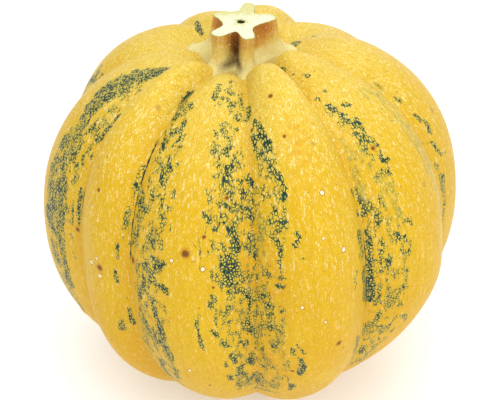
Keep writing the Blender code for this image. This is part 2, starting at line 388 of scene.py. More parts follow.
# Strokes run along the stripes. Each is a strength and points of azimuth, polar angle and
# half width, all in degrees: 1 degree is 2 mm at the equator.
stripes = [
    # the thin lace that each stripe lies in
    (0.42, [(-64, 30, 1), (-64, 40, 2.5), (-65, 50, 3.5), (-66, 60, 4), (-65, 70, 3.5), (-64, 80, 2.6)]),
    (0.43, [(-32, 28, 1.8), (-28, 38, 3.6), (-27, 48, 4.6), (-28, 60, 6), (-28, 84, 6), (-27, 108, 6),
            (-28, 124, 4)]),
    (0.50, [(-36, 50, 0.8), (-36.6, 62, 1.0), (-37, 74, 1.2)]),
    (0.42, [(-12, 18, 2), (-6, 26, 3.4), (-3, 30, 2)]),
    (0.44, [(-8, 34, 2.6), (-5, 48, 5), (-3, 60, 7.4), (-2, 72, 8), (-1, 88, 8.6), (2, 102, 8.4),
            (2, 124, 6)]),
    (0.46, [(4.6, 33, 1.2), (7, 42, 2.2), (8, 52, 2.8), (8, 64, 3)]),
    (0.44, [(41, 32, 1.4), (43.6, 40, 2.6), (43, 50, 3.8), (42, 62, 4.6), (42, 80, 5.6), (41, 96, 6),
            (39, 122, 5)]),
    (0.47, [(37.4, 42, 0.9), (38, 55, 1.8), (38, 68, 2.2), (37, 80, 2), (37, 92, 2.2)]),
    # broad band on the left, dense and sharp-edged above
    (0.84, [(-66, 19, 0.9), (-70, 24, 2), (-73, 29, 3.4), (-75, 34, 4.2), (-76, 40, 3.8), (-74, 46, 3)]),
    (0.66, [(-73, 47, 2.4), (-72, 52, 2.4), (-72, 57, 3.2)]),
    (0.66, [(-71, 59, 4.6), (-71, 66, 5.6), (-71, 73, 5.4), (-69, 80, 4.6)]),
    (0.55, [(-70, 84, 4.2), (-70, 92, 3.4), (-69, 102, 3.4), (-69, 114, 3)]),
    (1.00, [(-70, 49, 0.9), (-70.5, 51, 0.9)]),
    (0.95, [(-76, 59, 1.2), (-75, 62, 1.4)]),
    (0.90, [(-66.5, 58, 1), (-66, 61, 1)]),
    (0.80, [(-66, 68, 1), (-66, 76, 1.3), (-66, 85, 1.4), (-66, 95, 1.4), (-66, 104, 1.2)]),
    (0.85, [(-73, 75, 1.6), (-71, 79, 1.6), (-75, 84, 1.4), (-70, 87, 1.3)]),
    (0.95, [(-59.6, 40, 0.5), (-59.8, 46, 0.6), (-61, 51, 0.8)]),
    (0.85, [(-61.8, 54, 0.7), (-63, 59, 0.7)]),
    (0.70, [(-60, 55, 0.5), (-60, 60, 0.5)]),
    (0.90, [(-59.5, 67, 0.5), (-59.3, 73, 0.6), (-59.3, 79, 0.5)]),
    (0.85, [(-61.8, 72, 0.7), (-61.7, 77, 0.5), (-62, 81, 0.5)]),
    (0.50, [(-64.5, 34, 0.5), (-64, 40, 0.5), (-64.6, 45, 0.5)]),
    (0.60, [(-66.6, 46, 0.7), (-67, 54, 0.8), (-63, 66, 0.6)]),
    (0.50, [(-62, 84, 0.7), (-60.5, 93, 0.5)]),
    # left front: thin strand in the furrow, and a broken band beside it
    (0.60, [(-39, 75, 0.5), (-38.8, 80, 0.7)]),
    (0.65, [(-39.7, 84.5, 0.7), (-39.6, 87.5, 0.7)]),
    (0.50, [(-38.5, 90, 0.5), (-37.4, 91, 0.5)]),
    (0.85, [(-36.8, 96, 0.6), (-36.5, 102, 0.8)]),
    (0.75, [(-39.4, 101, 1), (-39.8, 105, 1.2)]),
    (0.75, [(-34, 23, 0.9), (-33, 28, 1.3), (-32.4, 33, 1.2)]),
    (0.60, [(-28, 27, 0.6), (-26, 30, 0.6)]),
    (0.92, [(-26, 33.5, 0.6), (-25.6, 37, 0.7), (-25, 40, 0.5)]),
    (0.70, [(-30, 37, 0.9), (-28, 38, 1)]),
    (0.90, [(-31, 41, 1), (-31, 43.5, 0.9)]),
    (0.70, [(-30, 46, 1.1), (-28, 48, 1.2), (-25, 49, 0.9)]),
    (0.92, [(-26.6, 45, 0.7), (-24.6, 48.5, 0.9)]),
    (0.90, [(-27, 50, 0.8), (-26.6, 53, 0.8)]),
    (0.50, [(-25, 54, 0.8), (-25, 58, 0.9)]),
    (0.60, [(-21.5, 54, 0.5), (-20.4, 57.5, 0.4)]),
    (0.65, [(-24, 59.5, 0.8), (-22, 58.5, 0.6)]),
    (0.75, [(-34, 56, 1), (-33, 60, 1.8), (-31, 62, 1.3), (-29, 61, 0.7)]),
    (0.65, [(-33.5, 65, 1.8), (-33, 70, 1.5), (-34, 74, 1)]),
    (0.60, [(-25.4, 64, 0.6), (-24, 62, 0.5), (-22, 62, 0.5), (-20.4, 65, 0.6)]),
    (0.60, [(-27, 67, 1.4), (-25, 66, 1)]),
    (1.00, [(-26.8, 69.3, 0.7), (-25.8, 70.5, 0.6)]),
    (0.65, [(-22.8, 68.5, 0.6), (-22.4, 70.5, 0.6)]),
    (0.95, [(-24.8, 74.5, 0.9), (-22, 74.5, 1), (-23.6, 76.5, 1.7), (-25, 78.5, 0.6)]),
    (0.85, [(-29.2, 78, 0.8), (-27.8, 77, 0.7)]),
    (1.00, [(-35, 78, 0.8)]),
    (0.90, [(-26, 81.5, 0.6), (-23, 81, 0.6), (-20.8, 82.3, 0.9)]),
    (0.95, [(-28.4, 81.5, 0.9), (-28.4, 84.5, 1.2), (-30, 86, 1.2), (-31.5, 88.6, 0.8)]),
    (0.60, [(-27, 86, 0.8), (-25, 86, 0.7), (-22, 86, 0.6), (-20.5, 89, 0.5), (-20, 94, 0.5)]),
    (0.95, [(-25.5, 87, 0.7), (-24.5, 90, 1)]),
    (0.95, [(-23.6, 91, 0.8), (-23.2, 95, 1), (-23.5, 99, 1.4), (-22, 103, 1.2), (-22, 107, 0.8)]),
    (0.65, [(-29.4, 94, 1.1), (-28, 98, 1.2), (-27, 104, 1)]),
    (0.65, [(-26.4, 96, 1), (-26, 100, 1.3)]),
    (0.55, [(-31, 102, 0.9), (-33, 107, 1)]),
    (0.80, [(-27, 111, 1.3), (-28, 117, 1.3), (-28, 123, 1)]),
    (0.70, [(-22, 112, 1), (-23, 118, 1)]),
    # middle: broad and broken, from the stem to the foot
    (0.80, [(-16.5, 20, 0.7), (-16.5, 25, 0.8)]),
    (0.60, [(-10.5, 18, 0.6), (-10, 23, 0.5)]),
    (0.72, [(-7, 26, 0.5), (-7, 29, 0.7)]),
    (0.62, [(-3, 21, 0.6), (-2, 26, 0.8), (-3, 30, 0.8), (-2.5, 34, 0.5)]),
    (0.78, [(1.8, 26, 0.5), (2.2, 29, 0.5), (1, 30.5, 0.4)]),
    (0.80, [(-15, 37, 0.5)]),
    (0.60, [(-9.6, 34, 0.9), (-7, 36, 1.3), (-6, 39, 1.2)]),
    (0.78, [(-10.2, 42, 1.5), (-7.5, 41.5, 1.4)]),
    (0.55, [(-11, 44.5, 0.8), (-9, 46, 0.6)]),
    (0.80, [(-6.4, 45, 0.9), (-5, 45.5, 0.8), (-6, 49, 1), (-7.5, 52, 0.6)]),
    (0.82, [(-3.6, 48.6, 0.8), (-1.5, 48.6, 0.7), (0.5, 48, 1.2), (2, 50.5, 0.6)]),
    (0.60, [(-3.6, 51, 0.7), (-5, 54, 0.7)]),
    (1.00, [(-1, 52.4, 0.9), (-0.6, 54, 0.9)]),
    (0.60, [(2.8, 50, 0.4), (3.4, 54, 0.4)]),
    (0.92, [(4.4, 31.5, 0.4), (5.2, 34, 0.6), (6.4, 37, 0.7), (7.6, 39.5, 0.9), (8, 42, 0.8)]),
    (0.85, [(3, 36, 0.5), (3.7, 38, 0.6), (3.4, 40.5, 0.4)]),
    (0.88, [(6, 41.5, 0.5), (7, 44.5, 0.7), (8.5, 47.5, 0.7)]),
    (0.92, [(9.8, 47.5, 0.4), (10.3, 51, 0.6), (10.5, 55, 0.4)]),
    (0.90, [(6.8, 53.5, 0.5)]),
    (0.92, [(7.4, 57, 0.5), (8.2, 58.5, 0.8)]),
    (0.82, [(-4, 57, 1.4), (-2, 57, 1.4), (0.5, 58, 1.4), (1.5, 60.5, 0.9)]),
    (0.88, [(-11.6, 59.6, 0.9), (-10, 60.8, 0.8)]),
    (0.50, [(-8.5, 58, 0.8), (-6, 56, 0.8)]),
    (0.85, [(3.6, 59.5, 0.9), (3.9, 63, 0.6), (3.2, 66, 0.9)]),
    (0.60, [(7, 61, 0.5), (7.3, 65, 0.5)]),
    (0.75, [(0.6, 62, 0.9), (9.4, 61, 0.4)]),
    (0.85, [(-9, 63.3, 0.8)]),
    (1.00, [(-5.4, 63, 0.7), (-3.8, 64, 1.1), (-3, 66.5, 0.8), (-3.4, 69, 1.5)]),
    (0.62, [(-9.6, 66, 0.7), (-9, 68.5, 0.7), (-6.5, 68, 0.6)]),
    (0.45, [(-12.6, 66, 0.4), (-12, 74, 0.4)]),
    (0.92, [(8, 66.5, 0.7), (8.6, 69, 0.8), (8, 72, 0.5), (8.4, 75, 0.4)]),
    (0.90, [(11.6, 64, 0.5), (13.2, 65, 0.5), (12, 67.4, 0.6)]),
    (0.72, [(13, 71, 0.7)]),
    (0.92, [(2.2, 68.5, 0.7), (2.6, 72.5, 0.6)]),
    (1.00, [(-5, 71, 1), (-5.6, 74, 1.8), (-3, 74, 1.2), (-5, 77, 1.4), (-7, 79, 0.9), (-3, 79, 0.7)]),
    (0.60, [(-9.7, 73.5, 0.4), (-9, 77, 0.4)]),
    (0.88, [(6.4, 79.6, 0.6), (8.2, 78.8, 0.7)]),
    (0.70, [(9.5, 76.5, 0.5), (3, 76, 0.6)]),
    (1.00, [(-2.4, 81.6, 0.9), (-0.6, 82.8, 0.9), (0, 86, 0.5)]),
    (0.92, [(-9, 83.2, 0.9), (-9.6, 85.2, 0.9)]),
    (0.82, [(3.6, 82.6, 0.6), (2.5, 85, 0.5)]),
    (0.85, [(4.2, 84.8, 0.9), (5.4, 85.6, 0.7)]),
    (0.75, [(-8.6, 88, 0.8), (-8.4, 90, 0.6)]),
    (0.85, [(-13.2, 89, 0.6), (-12.4, 88, 0.6)]),
    (0.95, [(-13.2, 90, 0.5), (-12.6, 94, 0.5), (-12.4, 98, 0.4)]),
    (0.85, [(-9.4, 91.4, 0.8), (-8.4, 93, 0.6)]),
    (0.62, [(-3, 88, 0.8), (3, 88.5, 0.8)]),
    (0.96, [(-0.6, 90, 0.7), (-0.8, 93, 1.1), (0.8, 95, 0.8)]),
    (0.85, [(2, 93.5, 0.6), (4, 90.5, 0.4)]),
    (0.42, [(-6, 84, 3), (-5, 91, 3.4), (-3, 97, 3)]),
    (0.42, [(6, 84, 3.4), (6, 91, 3.6), (6, 99, 3.2)]),
    (0.92, [(-7.1, 96.6, 0.5), (-6.9, 99, 0.5), (-5, 97.5, 0.5)]),
    (0.95, [(-1.8, 98, 1), (-1, 99.6, 0.8)]),
    (0.90, [(10.6, 96.6, 0.5), (10.3, 99.6, 0.6)]),
    (0.70, [(11.4, 95, 0.6), (13.8, 98.6, 0.5)]),
    (1.00, [(12.6, 101, 0.7), (13.4, 104, 0.9), (12.8, 108.4, 0.7)]),
    (0.96, [(-5.6, 102, 0.6), (-5, 104, 0.8), (-4.2, 106.6, 0.4)]),
    (0.96, [(-7, 104.5, 0.5), (-7, 107, 0.5)]),
    (0.96, [(0, 105, 0.7), (-0.6, 107.4, 1.1), (0.4, 110.4, 0.7)]),
    (0.72, [(2.2, 107.6, 0.8), (3, 110, 0.5)]),
    (0.60, [(6, 98.5, 0.8), (5.6, 101, 0.4)]),
    (0.52, [(6.5, 106, 0.6), (6.3, 110, 0.6)]),
    (1.00, [(-3.4, 109.6, 0.7), (-3.2, 113, 0.9)]),
    (0.96, [(-6.4, 112.6, 0.7), (-6.4, 115.4, 0.7)]),
    (0.82, [(-4.2, 116, 0.4), (-4.6, 120.5, 0.5)]),
    (0.96, [(-2, 114.4, 0.6), (-1.5, 119, 0.7), (-1.6, 121, 0.4)]),
    (0.92, [(0.4, 115.6, 0.4), (1.5, 119, 0.6), (1.5, 123.4, 0.4)]),
    (0.72, [(10, 112, 0.4), (10.3, 115, 0.4)]),
    (0.95, [(11.6, 115, 0.7), (11.4, 120.5, 0.7)]),
    # right front: fine pencil strokes along the furrow, knots of net outside them
    (0.95, [(37, 12.5, 0.6), (38.6, 14.6, 0.5)]),
    (0.80, [(40, 18, 0.3)]),
    (0.85, [(42.4, 20, 0.4), (44, 21.5, 0.5)]),
    (0.85, [(38.8, 27.8, 0.5), (39.8, 28.6, 0.4)]),
    (0.72, [(43.8, 27, 0.5), (44.2, 28.2, 0.5)]),
    (1.00, [(41, 31.4, 0.6), (41.4, 33, 0.7), (42, 34.4, 0.4)]),
    (0.88, [(42.4, 35.5, 0.4), (43, 38.6, 0.6), (44.4, 40.4, 0.7), (46.6, 38.8, 0.5)]),
    (0.72, [(46.2, 33.4, 0.6), (47.8, 34.6, 0.7)]),
    (0.60, [(46.4, 36.4, 0.4)]),
    (0.85, [(43.2, 42, 0.7), (43.6, 45, 0.8)]),
    (0.75, [(46, 44.4, 0.6), (46, 40.6, 0.4)]),
    (0.65, [(43, 48.4, 0.7), (43.8, 49.6, 0.6)]),
    (0.82, [(46.6, 51, 0.6), (46, 53, 0.8), (48.6, 53, 0.4)]),
    (0.88, [(45.4, 55.2, 0.5), (46.8, 56.6, 0.7)]),
    (0.48, [(36.8, 43, 0.5), (37.2, 50, 0.5), (37.8, 56, 0.9)]),
    (0.45, [(39.8, 42, 0.4), (40.3, 48, 0.4)]),
    (0.45, [(39, 50, 0.5), (38.6, 54, 0.6)]),
    (0.88, [(36, 57.5, 0.8), (36.4, 61, 1), (36.6, 64.8, 1.1)]),
    (1.00, [(38, 60.6, 0.6), (38.2, 62, 0.6)]),
    (0.62, [(42, 54.6, 0.6), (42.6, 58.5, 0.7)]),
    (0.88, [(41.4, 61.8, 0.8), (41.6, 64.6, 0.6)]),
    (0.58, [(43.6, 60, 0.6), (44.6, 65, 0.6), (45.3, 70, 0.6)]),
    (0.50, [(43, 65, 0.5), (43.4, 69, 0.5)]),
    (0.62, [(39.2, 69, 0.4), (38.7, 73.4, 0.5)]),
    (0.96, [(36.5, 73.5, 0.6), (36.3, 77, 0.9), (35.9, 82, 0.8)]),
    (0.82, [(41.3, 73.8, 0.5)]),
    (1.00, [(44.6, 74.8, 0.8), (45.6, 75.6, 0.6)]),
    (0.88, [(47.4, 71.4, 0.7), (48.4, 72.6, 0.7)]),
    (0.52, [(43.6, 71, 0.8)]),
    (0.92, [(39.4, 78, 0.4)]),
    (0.96, [(37.7, 80.5, 0.6)]),
    (0.74, [(46.4, 80, 0.7), (47.8, 78.4, 0.6)]),
    (0.62, [(41, 80, 0.5), (41.3, 88, 0.5), (41, 92, 0.4)]),
    (0.96, [(36, 84, 0.9), (36, 88, 1.1), (36.3, 92, 1.2)]),
    (0.88, [(38.2, 88.6, 0.6), (38.4, 93, 0.6)]),
    (0.78, [(38.4, 96.6, 0.9), (39, 99.4, 1.2), (37.2, 102.6, 1.4)]),
    (0.42, [(42, 97, 0.9)]),
    (0.74, [(40.4, 104, 1.2), (43.2, 105, 1.2)]),
    (0.85, [(47.2, 101.6, 0.9), (48.6, 104.6, 0.9)]),
    (0.52, [(43.6, 109, 0.8), (44, 113, 0.6)]),
    (0.62, [(36.6, 107, 1.4), (37, 110, 1)]),
    (0.88, [(37, 112.8, 0.7), (37.3, 117.4, 0.7)]),
    (0.62, [(40.4, 113.6, 0.7), (41, 117, 0.7)]),
    (0.72, [(33.4, 57, 0.9), (33.8, 59, 0.7)]),
    (0.92, [(33.6, 64, 1.1)]),
    (0.62, [(32, 70, 1.8), (32, 76, 2.2)]),
    (0.62, [(28.4, 79, 0.8), (27.4, 83.5, 0.6)]),
    (0.72, [(33, 82, 1.8), (33.4, 89, 1.6)]),
    (0.70, [(30, 101, 0.9), (31, 105, 1.4), (32, 110, 1.8), (32.4, 117, 1.6)]),
    # right: pale glossy band across the furrow, then dark strands beyond it
    (0.50, [(58.5, 33, 0.5), (58.5, 36, 0.5)]),
    (0.56, [(59, 40, 0.6), (59.5, 44.6, 0.6)]),
    (0.50, [(62.5, 33, 1), (63.4, 38, 1.5)]),
    (0.54, [(74, 32, 2), (68, 39, 4), (66, 47, 3.8), (67, 58, 3.4), (67, 68, 3.2), (66, 80, 2.6)]),
    (0.62, [(61.9, 48, 0.5), (62, 58, 0.5), (61.6, 69, 0.5)]),
    (0.60, [(79, 35, 0.5), (79, 39.5, 0.5)]),
    (0.90, [(79.5, 43, 0.5), (80, 45.4, 0.7)]),
    (0.90, [(81, 52, 0.5), (81.2, 54.6, 0.5)]),
    (0.88, [(83, 56.4, 0.7), (82.5, 60.6, 0.8)]),
    (0.45, [(80, 62, 0.9)]),
    (0.75, [(81.5, 63.6, 0.9), (82.5, 67, 0.8), (84, 69.6, 0.6)]),
    (0.55, [(80, 70, 1.4), (81.6, 76, 1.3), (82, 84, 1.2), (81, 92, 1)]),
    (0.50, [(85.6, 70, 0.5), (86.6, 71.6, 0.4)]),
    (1.00, [(114, 11.6, 0.7), (120, 14.4, 1.0)]),
    (0.95, [(123, 18.4, 0.7), (129, 23, 0.7)]),
    (0.92, [(-148, 24.6, 0.7), (-143, 19.4, 0.8), (-140, 16.6, 0.5)]),
]
unseenFurrows = {
    "azimuths": [124, 156, 184, 214, 259], "top": 46, "bottom": 124,
    "strokes": 54, "spread": 4.6, "drift": 0.8, "halfLength": (0.6, 4.5), "halfWidth": (0.5, 1.5),
    "strengths": [0.5, 0.65, 0.8, 0.95],
    "lace": 0.45, "lacePolars": (46, 80, 124), "laceWidths": (3, 6.5, 4.5),
}

# near-black line where two lobes meet, painted crease shadow over the stripe's dark green: furrow, then
# polar angles from and to
creaseShadeLines = [
    (-35.3, 21, 26), (-35.3, 41, 80), (-58.1, 44, 53), (-58.1, 66, 76), (35, 72, 80), (35, 86, 94),
    (124, 40, 62), (156, 52, 84), (214.3, 48, 70), (259, 60, 92),
]

# rusty cast over the net and in a few stains
rustStrokes = [
    (0.55, [(3, 65, 3), (3, 76, 6), (3, 90, 7), (4, 104, 5)]),
    (0.55, [(17, 38, 2.2), (17.4, 46, 1.8)]),
    (0.50, [(12, 98, 2.2), (12.4, 108, 1.4)]),
    (0.45, [(-25, 66, 3), (-24, 72, 2)]),
    (0.40, [(150, 60, 4), (190, 90, 5)]),
]

# where the net is drawn out into pencil strokes
pencilStrokes = [
    (1.0, [(38, 40, 2), (39, 52, 3), (39, 60, 2)]),
    (0.8, [(44, 58, 2), (44.6, 70, 2)]),
    (1.0, [(68, 34, 6), (66, 50, 6), (65, 76, 6)]),
    (0.6, [(4, 60, 1.5), (4, 72, 1.5)]),
]

# spots: azimuth, polar angle, radius in millimetres, and 0 for a brown scab, 0.5 for a faint
# bruise or 1 for a pale blister with a ring
spots = [
    (-16, 70.6, 2.7, 0), (-44.8, 84.8, 2.5, 0), (-34, 79, 2.4, 0), (-39.5, 33, 1.9, 0.5),
    (90, 57.5, 2.6, 0.5), (57.5, 65.2, 2.0, 0.5), (-46.6, 61.7, 1.3, 0), (-31.5, 92.6, 1.9, 0),
    (-11.3, 65.8, 1.3, 0), (45.5, 48, 1.4, 0), (22, 96.2, 1.9, 0), (-59.6, 81, 1.7, 0),
    (12, 27.5, 1.4, 0), (13.4, 39, 1.1, 0), (22.1, 42, 1.5, 0.5), (-5.6, 54.2, 1.2, 0),
    (6.4, 32, 1.0, 0.5), (-49.7, 56, 1.3, 0.5), (-48.6, 67, 1.1, 0.5), (-34, 41.8, 1.5, 0.5),
    (-48.4, 85.2, 1.6, 1), (-45.8, 82.6, 1.1, 1), (-45, 88, 1.4, 1), (-19.3, 73.3, 1.3, 1),
    (-11.5, 74.6, 1.5, 1), (24.3, 71, 1.6, 1), (20.7, 55, 1.5, 1), (12.8, 84.3, 1.1, 1),
    (-17.2, 109.2, 1.4, 1), (18.8, 66.4, 0.9, 1), (18, 88.4, 0.9, 1), (25.6, 102.6, 1.4, 0.5),
    (24.8, 112, 1.6, 0.5), (10.8, 107, 1.3, 0), (-21.4, 86.6, 0.8, 0), (-12.6, 118.4, 1.0, 0),
    (-9, 79.8, 0.9, 0), (-69.5, 118.5, 2.0, 0), (49, 71, 1.0, 0.5),
]
unseenSpots = {
    "count": 34, "azimuths": (98, 282), "polars": (30, 118), "radii": (0.9, 2.2),
    "kinds": [0.0, 0.5, 0.5, 1.0],
}


def inkUnseenStripes():
    # the far side isn't in view, so its stripes follow its furrows in the same broken way
    u = unseenFurrows
    made = []
    for furrow in u["azimuths"]:
        azimuths = (furrow - 1, furrow, furrow + 1)
        made.append((u["lace"], list(zip(azimuths, u["lacePolars"], u["laceWidths"]))))
        for _ in range(u["strokes"]):
            middle = draws.uniform(u["top"], u["bottom"])
            azimuth = furrow + draws.normal(0, u["spread"])
            length = draws.uniform(*u["halfLength"])
            drift = draws.normal(0, u["drift"])
            width = draws.uniform(*u["halfWidth"])
            strength = draws.choice(u["strengths"])
            made.append((strength, [(azimuth + k * drift, middle + k * length, (1 - 0.4 * abs(k)) * width)
                                    for k in (-1, 0, 1)]))
    return made


# marks sit a little nearer to the stem than written at the crown, and lower on the sides
markSlide = {"at": [20, 48, 75, 90], "by": [-1.4, 0, 0.65, 0]}


def slid(polarDegrees):
    return polarDegrees + np.interp(polarDegrees, markSlide["at"], markSlide["by"])


def strokeMask(azimuth, polarDegrees, strokes):
    mask = np.zeros(azimuth.shape)
    squeeze = np.sin(np.radians(polarDegrees))
    for strength, written in strokes:
        points = [(a, slid(p), w) for a, p, w in written]
        for (a0, p0, w0), (a1, p1, w1) in zip(points, points[1:] or points):
            around = angleBetween(azimuth, a0) * squeeze
            down = polarDegrees - p0
            runAround = angleBetween(a1, a0) * math.sin(math.radians((p0 + p1) / 2))
            runDown = p1 - p0
            share = (around * runAround + down * runDown) / max(runAround**2 + runDown**2, 1e-6)
            share = np.clip(share, 0, 1)
            away = np.hypot(around - share * runAround, down - share * runDown)
            width = w0 + (w1 - w0) * share
            mask = np.maximum(mask, strength * (1 - smooth(away / width, 0.7, 1.35)))
    return mask


def paintRind(piece):
    azimuth = np.broadcast_to(azimuths[None, :], fruitGrid.shape[:2])[1:-1].ravel()
    polar = np.broadcast_to(np.degrees(polars)[:, None], fruitGrid.shape[:2])[1:-1].ravel()
    azimuth, polar = np.append(azimuth, [0, 0]), np.append(polar, [0, 180])
    points = np.array([v.co for v in piece.data.vertices])

    for name, strokes in (("green", stripes + inkUnseenStripes()), ("rust", rustStrokes),
                          ("pencil", pencilStrokes)):
        giveValues(piece, name, strokeMask(azimuth, polar, strokes))

    index, across = acrossLobe(azimuth)
    starts = np.array([lobe[0] for lobe in fruit["lobes"]])
    widths = np.diff(np.append(starts, starts[0] + 360))[index]
    fromFurrow = (1 - np.abs(across)) * widths / 2 * np.sin(np.radians(polar))
    giveValues(piece, "fromFurrow", fromFurrow)  # degrees of arc to the nearest furrow
    # mask of the painted crease shadow, partly dark green, along the listed furrows
    inkAndCreaseShade = np.zeros(azimuth.shape)
    for furrow, top, bottom in creaseShadeLines:
        near = np.abs(angleBetween(azimuth, furrow)) < 3
        along = smooth(polar, top - 1.5, top + 1) * (1 - smooth(polar, bottom - 1, bottom + 1.5))
        inkAndCreaseShade = np.maximum(inkAndCreaseShade, near * along)
    giveValues(piece, "inkAndCreaseShade", inkAndCreaseShade)

    # the skin's grain runs from the stem to the blossom end, and draws together towards both
    turn = np.radians(azimuth)
    ringRadius = np.hypot(fruitGrid[..., 0], fruitGrid[..., 1]).mean(1)
    steps = np.linalg.norm(np.diff(fruitGrid, axis=0), axis=-1).mean(1)
    drawn = np.interp(np.degrees(polars[1:]), fruit["grainTurns"], fruit["grainShares"])
    down = np.interp(polar, np.degrees(polars), np.append(0, np.cumsum(steps * drawn)))
    widest = fruit["crestRadius"]
    radius = np.sqrt(widest * np.maximum(np.interp(polar, np.degrees(polars), ringRadius), 0.004))
    giveValues(piece, "grain", np.stack([radius * np.cos(turn), radius * np.sin(turn), down], 1))
    giveValues(piece, "polar", polar)

    places = [(a, slid(p), r, k) for a, p, r, k in spots]
    for _ in range(unseenSpots["count"]):
        kind = draws.choice(unseenSpots["kinds"])
        places.append((*(draws.uniform(*unseenSpots[k]) for k in ("azimuths", "polars", "radii")), kind))
    centres = []
    for a, p, _, _ in places:
        # the spot's centre lies between the four nearest points of the grid
        around = angleBetween(azimuth, a) * np.sin(np.radians(polar))
        away = np.hypot(around, polar - p) + 1e-3
        nearest = np.argsort(away)[:4]
        weight = 1 / away[nearest]
        centres.append((points[nearest] * weight[:, None]).sum(0) / weight.sum())
    centres = np.array(centres)
    gaps = np.linalg.norm(points[:, None, :] - centres[None, :, :], axis=-1)
    own = gaps.argmin(1)
    giveValues(piece, "spotPlace", centres[own])
    giveValues(piece, "spotSize", np.array([r for _, _, r, _ in places])[own] * 0.001)
    giveValues(piece, "spotKind", np.array([k for _, _, _, k in places])[own])


# Rind

rind = {
    "gold": (0.71, 0.445, 0.010), "amber": (0.66, 0.350, 0.007), "straw": (0.79, 0.60, 0.090),
    "matrix": (0.60, 0.35, 0.009), "fleck": (0.90, 0.76, 0.29), "pale": (0.93, 0.85, 0.46),
    "pit": (0.36, 0.19, 0.02), "lime": (0.50, 0.51, 0.095), "olive": (0.155, 0.190, 0.040),
    "teal": (0.038, 0.088, 0.042), "inkAndCreaseShade": (0.014, 0.042, 0.032),
    "rust": (0.66, 0.30, 0.008), "scab": (0.16, 0.060, 0.012), "scabRim": (0.56, 0.26, 0.020),
    "bruise": (0.50, 0.27, 0.05), "blister": (0.93, 0.80, 0.56), "ring": (0.42, 0.18, 0.02),
    "cork": (0.36, 0.25, 0.13),
    # sizes in metres: of the skin's cells and the green net, and of the noise that varies them
    "cellSize": 0.00098, "netSize": 0.00130, "wobble": 0.0011, "toneSizes": (0.045, 0.005),
    "streakSize": 0.0022, "dashSize": 0.0013, "rustSize": 0.0030, "patchSize": 0.0050,
    "breakSize": 0.0017, "pencilSize": 0.0016, "lineSize": 0.003, "poreSize": 0.0011,
    "pitSpacing": 0.0050, "pitSize": 0.13, "pitShare": 0.55,
    # relief in metres
    "poreRelief": 0.00020, "streakRelief": 0.00014, "cellRelief": 0.00010, "lineRelief": -0.00015,
    "scabRelief": 0.00015,
    "roughness": 0.42, "specular": 0.13, "coat": 0.02, "coatRoughness": 0.25, "corkFrom": 175.5,
}


def groundColourAndPaintedShade(tree, tone, polar, fromFurrow):
    # golden; more amber in the furrows as painted crease shade and down the lower sides as painted shade;
    # paler on the shoulders as painted light from above
    # painted shade: amber grows down the lower sides, patchy with the tone
    amber = times(tree, ramp(tree, tone, 0.36, 0.68), ramp(tree, polar, 45, 125, 0.20, 0.75))
    # painted shade in the creases: more amber near each furrow
    amber = timesPlus(tree, ramp(tree, fromFurrow, 0, 5, 1, 0), 0.30, amber, clamp=True)
    colour = blend(tree, amber, rind["gold"], rind["amber"])
    # painted light: the shoulders paler, as if lit from above
    paintedTopLight = times(tree, ramp(tree, polar, 62, 20), ramp(tree, tone, 0.35, 0.65, 0.45, 0.90))
    return blend(tree, paintedTopLight, colour, rind["straw"])


def cellColour(tree, colour, spot, grain, polar):
    # the skin's own cells: small, drawn out along the grain, pale at heart and darker between
    cells = {"Vector": wobbled(tree, grain, 0.003, rind["wobble"]), "Scale": 1 / rind["cellSize"]}
    walls = put(tree, "ShaderNodeTexVoronoi", cells, feature="DISTANCE_TO_EDGE").outputs["Distance"]
    each = put(tree, "ShaderNodeTexVoronoi", cells).outputs["Color"]
    each = put(tree, "ShaderNodeSeparateColor", {0: each}).outputs[0]
    streaks = blotches(tree, stretched(tree, grain, (1, 1, 0.22)), rind["streakSize"], 3.0, 0.6)
    matrix = times(tree, ramp(tree, walls, 0.0, 0.24, 1, 0), ramp(tree, streaks, 0.62, 0.38, 0.15, 0.75))
    colour = blend(tree, matrix, colour, rind["matrix"])
    heart = times(tree, ramp(tree, walls, 0.04, 0.40), ramp(tree, each, 0.2, 1.0))
    heart = times(tree, heart, ramp(tree, streaks, 0.40, 0.62, 0.45, 1.0))
    # the pale hearts thin out from the crown down the sides: real flecks, with painted light making the
    # crown paler than the lower sides
    heart = times(tree, heart, ramp(tree, polar, 30, 110, 1.0, 0.26))
    colour = blend(tree, heart, colour, rind["fleck"])
    dashes = blotches(tree, stretched(tree, grain, (1, 1, 0.45)), rind["dashSize"])
    # the dashes thin out down the sides the same way: painted light on the crown
    dashes = times(tree, ramp(tree, dashes, 0.56, 0.74), ramp(tree, polar, 30, 110, 0.65, 0.22))
    colour = blend(tree, dashes, colour, rind["pale"])
    pits = flecked(tree, spot, rind["pitSpacing"], rind["pitSize"], rind["pitShare"])
    return blend(tree, times(tree, pits, 0.8), colour, rind["pit"]), walls, streaks


